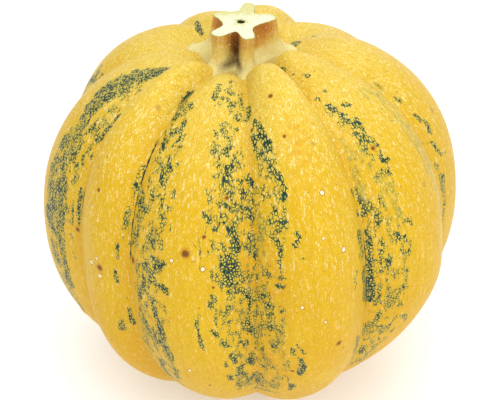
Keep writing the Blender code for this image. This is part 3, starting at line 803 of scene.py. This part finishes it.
def netColour(tree, colour, spot, grain):
    # the walls between larger cells turn green where a stripe lies, broken up by noise
    green = carried(tree, "green")
    patchy = blotches(tree, stretched(tree, spot, (1, 1, 0.6)), rind["patchSize"], 2.0, 0.6)
    broken = blotches(tree, stretched(tree, grain, (1, 1, 0.5)), rind["breakSize"], 1.0)
    amount = timesPlus(tree, minus(tree, patchy, 0.5), 1.5, green)
    amount = timesPlus(tree, minus(tree, broken, 0.5), 0.9, amount)
    amount = times(tree, amount, ramp(tree, green, 0.02, 0.25))
    present = ramp(tree, amount, 0.36, 0.50)
    wallWidth = ramp(tree, amount, 0.40, 1.15, 0.05, 0.20, gentle=False)
    cells = {"Vector": wobbled(tree, grain, 0.0026, rind["wobble"]), "Scale": 1 / rind["netSize"]}
    net = put(tree, "ShaderNodeTexVoronoi", cells, feature="DISTANCE_TO_EDGE").outputs["Distance"]
    net = ramp(tree, over(tree, net, wallWidth), 1.5, 0.7)

    # in a few places it draws out into fine pencil strokes
    drawn = stretched(tree, wobbled(tree, grain, 0.004, 0.0010), (1, 1, 0.10))
    drawn = minus(tree, blotches(tree, drawn, rind["pencilSize"], 1.0), 0.5)
    drawn = over(tree, sums(tree, "ABSOLUTE", drawn), times(tree, wallWidth, 0.13))
    drawnOut = times(tree, carried(tree, "pencil"), 0.75)
    net = sums(tree, "MAXIMUM", times(tree, net, minus(tree, 1.0, drawnOut)),
               times(tree, ramp(tree, drawn, 1.4, 0.6), drawnOut))
    net = times(tree, net, present)

    tint = times(tree, present, ramp(tree, amount, 0.4, 1.1, 0.10, 0.60))
    colour = blend(tree, tint, colour, rind["lime"])
    greens = blend(tree, ramp(tree, amount, 0.40, 0.65), rind["olive"], rind["teal"])
    greens = blend(tree, ramp(tree, amount, 0.60, 1.0), greens, rind["inkAndCreaseShade"])
    return blend(tree, net, colour, greens), net


def spotColour(tree, colour, spot):
    # scabs, bruises and blisters, each coloured from the outside in
    away = vectorSums(tree, "DISTANCE", wobbled(tree, spot, 0.0026, 0.0009),
                      carried(tree, "spotPlace", "Vector")).outputs["Value"]
    away = over(tree, away, carried(tree, "spotSize"))
    kind = carried(tree, "spotKind")
    isScab, isBlister = sums(tree, "LESS_THAN", kind, 0.25), sums(tree, "GREATER_THAN", kind, 0.75)
    isBruise = minus(tree, 1.0, sums(tree, "ADD", isScab, isBlister))
    for mask, rim, heart, strength, name in (
            (isBruise, 1.15, 0.35, 0.75, "bruise"), (isScab, 1.45, 0.75, 0.9, "scabRim"),
            (isScab, 0.85, 0.45, 0.9, "scab"), (isBlister, 1.2, 0.9, 0.8, "ring"),
            (isBlister, 0.8, 0.6, 1.0, "blister")):
        mask = times(tree, mask, ramp(tree, away, rim, heart, 0, strength))
        colour = blend(tree, mask, colour, rind[name])
    return colour, times(tree, isScab, ramp(tree, away, 0.9, 0.4))


def makeRind():
    material, tree, shader = newMaterial("rindSkin")
    spot = put(tree, "ShaderNodeTexCoord").outputs["Object"]
    grain, polar = carried(tree, "grain", "Vector"), carried(tree, "polar")
    fromFurrow = carried(tree, "fromFurrow")
    tone = unevenTone(tree, spot, *rind["toneSizes"])

    colour = groundColourAndPaintedShade(tree, tone, polar, fromFurrow)
    colour, walls, streaks = cellColour(tree, colour, spot, grain, polar)
    rust = ramp(tree, blotches(tree, spot, rind["rustSize"], 3.0, 0.6), 0.44, 0.66)
    colour = blend(tree, times(tree, carried(tree, "rust"), rust), colour, rind["rust"])
    colour, net = netColour(tree, colour, spot, grain)
    # near-black line where two lobes meet: painted crease shadow, partly the stripe's dark green
    lineWidth = ramp(tree, blotches(tree, spot, rind["lineSize"]), 0.35, 0.65, 0.04, 0.24, gentle=False)
    inkAndCreaseShadeLine = ramp(tree, over(tree, fromFurrow, lineWidth), 1.5, 0.7)
    inkAndCreaseShadeLine = times(tree, inkAndCreaseShadeLine, carried(tree, "inkAndCreaseShade"))
    colour = blend(tree, inkAndCreaseShadeLine, colour, rind["inkAndCreaseShade"])
    colour, scabs = spotColour(tree, colour, spot)
    # corky scar at the blossom end
    scar = ramp(tree, polar, rind["corkFrom"], rind["corkFrom"] + 1.5)
    colour = blend(tree, scar, colour, rind["cork"])

    rough = ramp(tree, tone, 0.3, 0.7, rind["roughness"] - 0.06, rind["roughness"] + 0.06)
    rough = timesPlus(tree, net, -0.05, rough)
    rough = timesPlus(tree, scar, 0.3, rough)
    for socket, name in (("Specular IOR Level", "specular"), ("Coat Weight", "coat"),
                         ("Coat Roughness", "coatRoughness")):
        shader.inputs[socket].default_value = rind[name]

    # relief: pores and streaks, cells a little domed, the furrow's line a little sunk, scabs proud
    pores = blotches(tree, spot, rind["poreSize"], 3.0, 0.6)
    height = 0.0
    for value, name in ((pores, "poreRelief"), (streaks, "streakRelief"),
                        (ramp(tree, walls, 0.0, 0.35), "cellRelief"), (inkAndCreaseShadeLine, "lineRelief"),
                        (scabs, "scabRelief")):
        height = timesPlus(tree, value, rind[name], height)
    finishSkin(tree, shader, colour, rough, height)
    return material


rindSkin = makeRind()


def buildFruit():
    rings = fruitGrid[1:-1]
    count = rings.shape[1]
    points = np.concatenate([rings.reshape(-1, 3), fruitGrid[:1].mean(1), fruitGrid[-1:].mean(1)])
    last = (rings.shape[0] - 1) * count
    faces = gridFaces(rings.shape[0], count)
    faces += fanFaces(len(points) - 2, 0, count, False) + fanFaces(len(points) - 1, last, count, True)
    piece = addMesh("rind", points, faces, [rindSkin])
    paintRind(piece)
    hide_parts("fruit")
    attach(piece, "root")
    return piece


fruitPiece = buildFruit()
print("rind built:", len(fruitPiece.data.polygons), "faces")


# The stem

stem = {
    "height": 0.0287, "lean": -0.0023,
    # a rib: azimuth and reach of its foot, azimuth, reach and half width at the cut, and how far
    # out the groove after it lies there
    "ribs": [
        (-42.0, 0.0335, -44.2, 0.0205, 0.0043, 0.0101),
        (2.0, 0.0265, 13.2, 0.0198, 0.0040, 0.0081),
        (112.0, 0.0310, 117.5, 0.0203, 0.0051, 0.0136),
        (168.0, 0.0310, 168.0, 0.0219, 0.0039, 0.0149),
        (255.0, 0.0335, 222.6, 0.0191, 0.0051, 0.0096),
    ],
    "ribReach": 0.0200, "ribTaper": 0.0015, "footHalfWidth": 0.0058,
    "footGroove": 0.0038, "grooveWaist": 0.0014,
    "footHeight": 0.0078, "flareHeight": 0.0032, "ribBluntness": 5, "grooveSharpness": 7,
    "lipAzimuth": 170.0, "lipHeight": 0.0017, "lipSpread": 22.0,
    "pithDepth": 0.0060, "pithRadius": 0.0019,
    # shares of the pith's depth and radius
    "pithRings": [(1.0, 0.55), (0.7, 0.75), (0.35, 0.92), (0.10, 1.0)],
    "columns": 288, "levels": 56, "cutRings": 14, "sunk": 0.0002, "rootRings": [0.75, 0.5, 0.25],
    # fine relief in metres: fibres of two sizes, the cut's unevenness and its shrunken rim
    "fibreHeight": 0.00024, "fibreSizes": (0.0021, 0.0009), "cutHeight": 0.00035, "cutSize": 0.0022,
    "rimDrop": 0.00045,
    # search for the feet: lowest rise, and how often it steps and halves
    "lowest": -0.35, "footSteps": 70, "footHalvings": 9,
    # painted shade in the deep groove at the front left: azimuth, and degrees to its full and outer edge
    "grooveShadePlace": (-17, 12, 24),
}


def stemReach(turn, flare, rise):
    s = stem
    middles = [foot + angleBetween(cut, foot) * rise for foot, _, cut, _, _, _ in s["ribs"]]
    spans = [(after - before) % 360 for before, after in zip(middles, middles[1:] + middles[:1])]
    grooves = [middle + span / 2 for middle, span in zip(middles, spans)]
    reach = np.interp(turn, grooves, [rib[5] for rib in s["ribs"]], period=360)
    reach = reach + s["footGroove"] * flare - 4 * s["grooveWaist"] * rise * (1 - rise) * (1 - flare)
    blunt, sharp = s["ribBluntness"], s["grooveSharpness"]
    for middle, (_, footReach, _, cutReach, cutHalf, _) in zip(middles, s["ribs"]):
        halfWidth = cutHalf + (s["footHalfWidth"] - cutHalf) * flare
        away = np.radians(angleBetween(turn, middle))
        end = cutReach + s["ribTaper"] * (1 - rise)
        end = end + (footReach - end) * flare
        side = halfWidth / np.maximum(np.abs(np.sin(away)), 1e-3)
        rib = (side**-blunt + end**-blunt) ** (-1 / blunt)
        joined = (reach**sharp + rib**sharp) ** (1 / sharp)
        reach = np.where(np.abs(away) < math.pi / 2, joined, reach)
    return reach


def stemColumns():
    fine = np.linspace(0, 360, 4001)
    reach = stemReach(fine, 0, 1)
    outline = np.stack([reach * np.sin(np.radians(fine)), reach * np.cos(np.radians(fine))], 1)
    along = np.append(0, np.cumsum(np.linalg.norm(np.diff(outline, axis=0), axis=1)))
    return np.interp(np.arange(stem["columns"]) / stem["columns"] * along[-1], along, fine)


def shapeStem():
    s = stem
    root = fruitGrid[0].mean(0)
    turns = stemColumns()
    sines, cosines = np.sin(np.radians(turns)), np.cos(np.radians(turns))
    skin = BVHTree.FromPolygons([v.co for v in fruitPiece.data.vertices],
                                [tuple(p.vertices) for p in fruitPiece.data.polygons])
    down = Vector((0, 0, -1))

    def skinHeight(x, y):
        return np.array([skin.ray_cast(Vector((a, b, 0.30)), down)[0].z for a, b in zip(x, y)])

    def reachAt(rise):
        # every column at its own rise: 0 at the middle of the hollow, 1 at the cut
        flare = np.exp(-np.maximum(rise * s["height"] - s["footHeight"], 0) / s["flareHeight"])
        return np.array([stemReach(np.array([t]), f, q)[0] for t, f, q in zip(turns, flare, rise)])

    def standing(rise, reach):
        near = np.exp(-((angleBetween(turns, s["lipAzimuth"]) / s["lipSpread"]) ** 2))
        lip = s["lipHeight"] * near * (reach / s["ribReach"]) ** 2 * np.maximum(rise, 0) ** 6
        return np.stack([root[0] + s["lean"] * rise + reach * sines, root[1] - reach * cosines,
                         root[2] + s["height"] * rise + lip], 1)

    def buried(rise):
        level = standing(rise, reachAt(rise))
        return level[:, 2] < skinHeight(level[:, 0], level[:, 1]) - s["sunk"]

    # each column runs down from the cut to the first place where it meets the skin
    above, below = np.ones(len(turns)), np.full(len(turns), s["lowest"])
    met = np.zeros(len(turns), bool)
    for rise in np.linspace(1, s["lowest"], s["footSteps"]):
        under = buried(np.full(len(turns), rise))
        below = np.where(under & ~met, rise, below)
        met = met | under
        above = np.where(met, above, rise)
    for _ in range(s["footHalvings"]):
        middle = (above + below) / 2
        under = buried(middle)
        below = np.where(under, middle, below)
        above = np.where(under, above, middle)
    foot = (above + below) / 2
    print("stem feet between", foot.min().round(2), "and", foot.max().round(2))

    rings = []
    cut = reachAt(np.ones(len(turns)))
    for depth, width in s["pithRings"]:
        rise = 1 - s["pithDepth"] * depth / s["height"]
        rings.append(standing(np.full(len(turns), rise), np.full(len(turns), s["pithRadius"] * width)))
    pithRim = s["pithRadius"] * 1.08
    for share in np.linspace(0, 1, s["cutRings"]):
        ring = standing(np.ones(len(turns)), pithRim + (cut - pithRim) * share**0.8)
        # fibres stand up unevenly on the cut, and its rim has shrunk a little
        ring[:, 2] -= s["cutHeight"] * (1 + noiseAt(ring, s["cutSize"], 5.0)) * smooth(share, 0.0, 0.25)
        ring[:, 2] -= s["rimDrop"] * smooth(share, 0.88, 1.0)
        rings.append(ring)
    cutCount = len(rings)
    for share in np.linspace(0, 1, s["levels"])[1:]:
        rise = foot + (1 - foot) * (1 - share) ** 1.15
        ring = standing(rise, reachAt(rise))
        fade = smooth(share, 0.02, 0.15) * (1 - smooth(share, 0.9, 1.0))
        coarse = noiseAt(ring * (1, 1, 0.16), s["fibreSizes"][0], 2.0)
        fine = noiseAt(ring * (1, 1, 0.3), s["fibreSizes"][1], 7.0)
        push = s["fibreHeight"] * (coarse + 0.4 * fine) * fade
        ring[:, 0] += push * sines
        ring[:, 1] -= push * cosines
        ring[:, 2] -= s["rimDrop"] * (1 - smooth(share, 0.0, 0.06))
        rings.append(ring)
    sideCount = len(rings)
    middle = root[:2]
    for share in s["rootRings"]:
        flat = middle + (rings[sideCount - 1][:, :2] - middle) * share
        rings.append(np.column_stack([flat, skinHeight(flat[:, 0], flat[:, 1]) - s["sunk"]]))
    return np.array(rings), cutCount, sideCount, turns


stemGrid, cutCount, sideCount, stemTurns = shapeStem()
print("stem shaped", stemGrid.shape)

bark = {
    "cream": (0.75, 0.66, 0.27), "straw": (0.68, 0.50, 0.11), "amber": (0.52, 0.215, 0.020),
    "paintedBayShade": (0.36, 0.115, 0.012), "groove": (0.085, 0.026, 0.006), "green": (0.40, 0.42, 0.10),
    "hair": (0.93, 0.91, 0.82), "roughness": 0.62, "hairRoughness": 0.5, "specular": 0.3,
    "toneSizes": (0.007, 0.0016), "fibreSize": 0.0010, "hairPatch": 0.0012,
    "wartSpacing": 0.0016, "wartSize": 0.24, "wartShare": 0.45, "wartRelief": 0.0002,
    "fibreRelief": 0.0004,
}


def makeBark():
    b = bark
    material, tree, shader = newMaterial("stemBark")
    spot = put(tree, "ShaderNodeTexCoord").outputs["Object"]
    rise, bay, grooveShade = carried(tree, "rise"), carried(tree, "bay"), carried(tree, "grooveShade")
    tone = unevenTone(tree, spot, *b["toneSizes"])
    fibres = blotches(tree, stretched(tree, spot, (1, 1, 0.14)), b["fibreSize"], 3.0, 0.6)
    shaken = times(tree, minus(tree, tone, 0.5), 0.5)
    climb = sums(tree, "ADD", shaken, rise)
    colour = blend(tree, ramp(tree, climb, 0.42, 0.62), b["cream"], b["straw"])
    # amber down from the cut; the further amber in the bays between ribs and the brown in them under the
    # rim are painted shade
    inBay = sums(tree, "ADD", bay, shaken)
    amber = ramp(tree, timesPlus(tree, inBay, 0.16, climb), 0.62, 0.88)
    # painted shade: the amber stronger in the bays
    colour = blend(tree, times(tree, amber, ramp(tree, inBay, -0.1, 0.4, 0.55, 0.95)), colour, b["amber"])
    # painted shade: brown in the bays under the rim
    paintedBayShade = times(tree, ramp(tree, inBay, 0.25, 0.8), ramp(tree, climb, 0.68, 0.92))
    colour = blend(tree, times(tree, paintedBayShade, 0.75), colour, b["paintedBayShade"])
    top = times(tree, ramp(tree, rise, 0.93, 1.0), ramp(tree, bay, 0.5, 0.0, 0.2, 0.7))
    colour = blend(tree, top, colour, b["green"])
    colour = blend(tree, ramp(tree, fibres, 0.52, 0.70, 0, 0.35), colour, b["amber"])
    colour = blend(tree, ramp(tree, fibres, 0.46, 0.30, 0, 0.35), colour, b["cream"])
    # painted shade: near-black in the deep groove at the front left
    grooveShadeMask = times(tree, grooveShade, ramp(tree, tone, 0.35, 0.6, 0.7, 1.0))
    colour = blend(tree, grooveShadeMask, colour, b["groove"])
    warts = flecked(tree, spot, b["wartSpacing"], b["wartSize"], b["wartShare"])
    colour = blend(tree, times(tree, warts, 0.75), colour, b["hair"])
    rough = ramp(tree, tone, 0.3, 0.7, b["roughness"] - 0.08, b["roughness"] + 0.1)
    shader.inputs["Specular IOR Level"].default_value = b["specular"]
    height = timesPlus(tree, warts, b["wartRelief"], times(tree, fibres, b["fibreRelief"]))
    finishSkin(tree, shader, colour, rough, height, 0.9)
    return material


def makeHair():
    material, tree, shader = newMaterial("stemHair")
    spot = put(tree, "ShaderNodeTexCoord").outputs["Object"]
    tone = blotches(tree, spot, bark["hairPatch"])
    colour = blend(tree, ramp(tree, tone, 0.35, 0.65), bark["hair"], bark["cream"])
    tree.links.new(colour, shader.inputs["Base Color"])
    shader.inputs["Roughness"].default_value = bark["hairRoughness"]
    return material


cutFace = {
    "flesh": (0.76, 0.79, 0.55), "dull": (0.62, 0.58, 0.20), "rim": (0.50, 0.50, 0.11),
    "dot": (0.22, 0.28, 0.07), "pith": (0.050, 0.036, 0.010), "ring": (0.62, 0.60, 0.22),
    "roughness": 0.7, "toneSizes": (0.005, 0.0010), "grainSize": 0.0009, "grainRelief": 0.0003,
    "dotSpacing": 0.0021, "dotSize": 0.20, "dotShare": 0.55, "dotRelief": -0.00015,
}


def makeCutFace():
    c = cutFace
    material, tree, shader = newMaterial("stemCut")
    spot = put(tree, "ShaderNodeTexCoord").outputs["Object"]
    outward, back = carried(tree, "outward"), carried(tree, "back")
    tone = unevenTone(tree, spot, *c["toneSizes"])
    shaken = minus(tree, tone, 0.5)
    dull = ramp(tree, timesPlus(tree, shaken, 1.6, back), 0.35, 0.95, 0, 0.85)
    colour = blend(tree, dull, c["flesh"], c["dull"])
    colour = blend(tree, ramp(tree, tone, 0.52, 0.66, 0, 0.35), colour, c["dull"])
    nearPith = timesPlus(tree, shaken, 0.35, outward)
    colour = blend(tree, ramp(tree, nearPith, 0.20, 0.03, 0, 0.7), colour, c["ring"])
    colour = blend(tree, ramp(tree, outward, 0.93, 0.99, 0, 0.85), colour, c["rim"])
    dots = stretched(tree, spot, (1, 1, 0.05))
    dots = flecked(tree, dots, c["dotSpacing"], c["dotSize"], c["dotShare"])
    inner = ramp(tree, outward, 0.95, 0.75, 0, 0.7)
    colour = blend(tree, times(tree, dots, inner), colour, c["dot"])
    colour = blend(tree, ramp(tree, nearPith, 0.035, -0.03), colour, c["pith"])
    rough = ramp(tree, tone, 0.3, 0.7, c["roughness"] - 0.1, c["roughness"] + 0.1)
    height = times(tree, blotches(tree, spot, c["grainSize"], 3.0, 0.65), c["grainRelief"])
    height = timesPlus(tree, dots, c["dotRelief"], height)
    finishSkin(tree, shader, colour, rough, height, 0.8)
    return material


stemBark, stemCut, stemHair = makeBark(), makeCutFace(), makeHair()

bristles = {
    "count": 240, "longest": 0.0015, "thick": 0.00012, "lowestLevel": 52, "sunk": 0.0002,
    "sway": 0.35, "lift": 0.15, "inGroove": 0.25,
}


def bristleMesh(first):
    # thin three-sided spikes on the sides of the stem, more of them on the ribs
    h = bristles
    root = fruitGrid[0].mean(0)
    points, faces = [], []
    while len(points) < 4 * h["count"]:
        level = draws.integers(cutCount + 1, cutCount + h["lowestLevel"])
        column = draws.integers(0, stem["columns"])
        wanted = h["inGroove"] + (1 - h["inGroove"]) * smooth(ribShare[level, column], 0.2, 0.9)
        if draws.uniform() > wanted:
            continue
        at = stemGrid[level, column]
        beside = stemGrid[level, (column + 1) % stem["columns"]] - stemGrid[level, column - 1]
        outward = Vector((-beside[1], beside[0], 0)).normalized()
        if outward.dot(Vector(at - root)) < 0:
            outward = -outward
        aim = (outward + Vector(draws.normal(0, h["sway"], 3)) + Vector((0, 0, h["lift"]))).normalized()
        side = aim.cross(Vector((0, 0, 1))).normalized()
        other = aim.cross(side)
        thick, long = h["thick"] * draws.uniform(0.7, 1.4), h["longest"] * draws.uniform(0.3, 1.0)
        start = len(points)
        base = Vector(at) - h["sunk"] * aim
        for turn in (0, 120, 240):
            across = side * math.cos(math.radians(turn)) + other * math.sin(math.radians(turn))
            points.append(tuple(base + across * thick))
        points.append(tuple(base + aim * long))
        for a, b, c in ((0, 1, 3), (1, 2, 3), (2, 0, 3), (0, 2, 1)):
            faces.append(tuple(first + start + k for k in (a, b, c)))
    return np.array(points), faces


# how far out each place of the sides lies, between a groove (0) and the tip of its rib (1)
sideReach = np.linalg.norm(stemGrid[:, :, :2] - stemGrid[:, :, :2].mean(1, keepdims=True), axis=-1)
ribShare = (sideReach - sideReach.min(1, keepdims=True)) / np.ptp(sideReach, axis=1)[:, None]


def buildStem():
    rings, count = stemGrid.shape[0], stemGrid.shape[1]
    points = np.concatenate([stemGrid.reshape(-1, 3), stemGrid[:1].mean(1), stemGrid[-1:].mean(1)])
    faces = gridFaces(rings, count)
    worn = [1 if k // count < cutCount - 1 else 0 for k in range(len(faces))]
    faces += fanFaces(len(points) - 2, 0, count, False)
    faces += fanFaces(len(points) - 1, (rings - 1) * count, count, True)
    worn += [1] * count + [0] * count
    hairs, hairFaces = bristleMesh(len(points))
    faces += hairFaces
    worn += [2] * len(hairFaces)
    body = len(points)
    points = np.concatenate([points, hairs])
    piece = addMesh("stemPiece", points, faces, [stemBark, stemCut, stemHair], worn)
    piece.data.set_sharp_from_angle(angle=math.radians(55))

    root = fruitGrid[0].mean(0)
    rise = (points[:, 2] - root[2]) / stem["height"]
    giveValues(piece, "rise", np.clip(rise, 0, 1))
    bay = np.zeros(len(points))
    bay[:rings * count] = 1 - smooth(ribShare, 0.15, 0.85).ravel()
    giveValues(piece, "bay", bay)
    # across the cut: 0 at the rim of the pith, 1 at the outer rim, and less than 0 in the pith
    pithRings, inPith = len(stem["pithRings"]), -0.3
    outward = np.zeros(len(points))
    share = (np.arange(rings) - pithRings) / (cutCount - 1 - pithRings)
    outward[:rings * count] = np.repeat(np.clip(share, inPith, 1), count)
    outward[body - 2] = inPith
    giveValues(piece, "outward", outward)
    giveValues(piece, "back", smooth(points[:, 1] - root[1], -0.002, 0.016))
    # painted shade along the deep groove at the front left, on the bay sides below the rim
    middle, full, edge = stem["grooveShadePlace"]
    grooveShadeMask = np.zeros(len(points))
    grooveShadeMask[:rings * count] = np.tile(1 - smooth(np.abs(angleBetween(stemTurns, middle)), full, edge), rings)
    grooveShadeMask *= bay * (1 - 0.6 * smooth(rise, 0.65, 1.0)) * smooth(rise, 0.25, 0.42)
    giveValues(piece, "grooveShade", grooveShadeMask)
    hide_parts("stem")
    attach(piece, "root")
    return piece


stemPiece = buildStem()
print("stem built:", len(stemPiece.data.polygons), "faces")


# Floor, light and camera

studio = {
    "floor": (0.80, 0.80, 0.80), "floorSize": 12.0, "floorRoughness": 0.85, "floorSpecular": 0.2,
    "floorGlow": 0.34, "worldColour": (1.0, 1.0, 1.0), "worldStrength": 0.78,
    # name, width in metres, power in watts and place; each points at the aim
    "lights": [("softTop", 1.1, 7.7, (0.0, -0.35, 1.25)), ("softFront", 0.9, 3.5, (0.90, -1.05, 0.70)),
               ("softBack", 0.8, 2.0, (0.3, 0.9, 0.8))],
    "aim": (0, 0, 0.11), "elevation": 32.4, "distance": 0.837, "focal": 104.4, "shift": 6.37 / 500,
    "target": (-0.0019, 0.0002, 0.1016),
}


def buildStudio():
    scene = bpy.context.scene
    size = studio["floorSize"]
    material, _, shader = newMaterial("paleFloor")
    shader.inputs["Base Color"].default_value = (*studio["floor"], 1)
    shader.inputs["Roughness"].default_value = studio["floorRoughness"]
    shader.inputs["Specular IOR Level"].default_value = studio["floorSpecular"]
    shader.inputs["Emission Color"].default_value = (*studio["worldColour"], 1)
    shader.inputs["Emission Strength"].default_value = studio["floorGlow"]
    corners = [(-size, -size, 0), (size, -size, 0), (size, size, 0), (-size, size, 0)]
    addMesh("floor", corners, [(0, 1, 2, 3)], [material])

    world = bpy.data.worlds.new("studio")
    scene.world = world
    world.use_nodes = True
    background = world.node_tree.nodes["Background"]
    background.inputs["Color"].default_value = (*studio["worldColour"], 1)
    background.inputs["Strength"].default_value = studio["worldStrength"]

    for name, width, power, where in studio["lights"]:
        lamp = bpy.data.lights.new(name, "AREA")
        lamp.energy, lamp.size = power, width
        holder = bpy.data.objects.new(name, lamp)
        holder.location = where
        aim = Vector(studio["aim"]) - Vector(where)
        holder.rotation_euler = aim.to_track_quat("-Z", "Y").to_euler()
        scene.collection.objects.link(holder)

    camera = bpy.data.cameras.new("camera")
    holder = bpy.data.objects.new("camera", camera)
    tilt = math.radians(studio["elevation"])
    away = Vector((0, -math.cos(tilt), math.sin(tilt))) * studio["distance"]
    holder.location = Vector(studio["target"]) + away
    holder.rotation_euler = (math.pi / 2 - tilt, 0, 0)
    camera.lens, camera.shift_y = studio["focal"], studio["shift"]
    scene.collection.objects.link(holder)
    scene.camera = holder
    scene.view_settings.view_transform = "Standard"


buildStudio()
print("studio set")
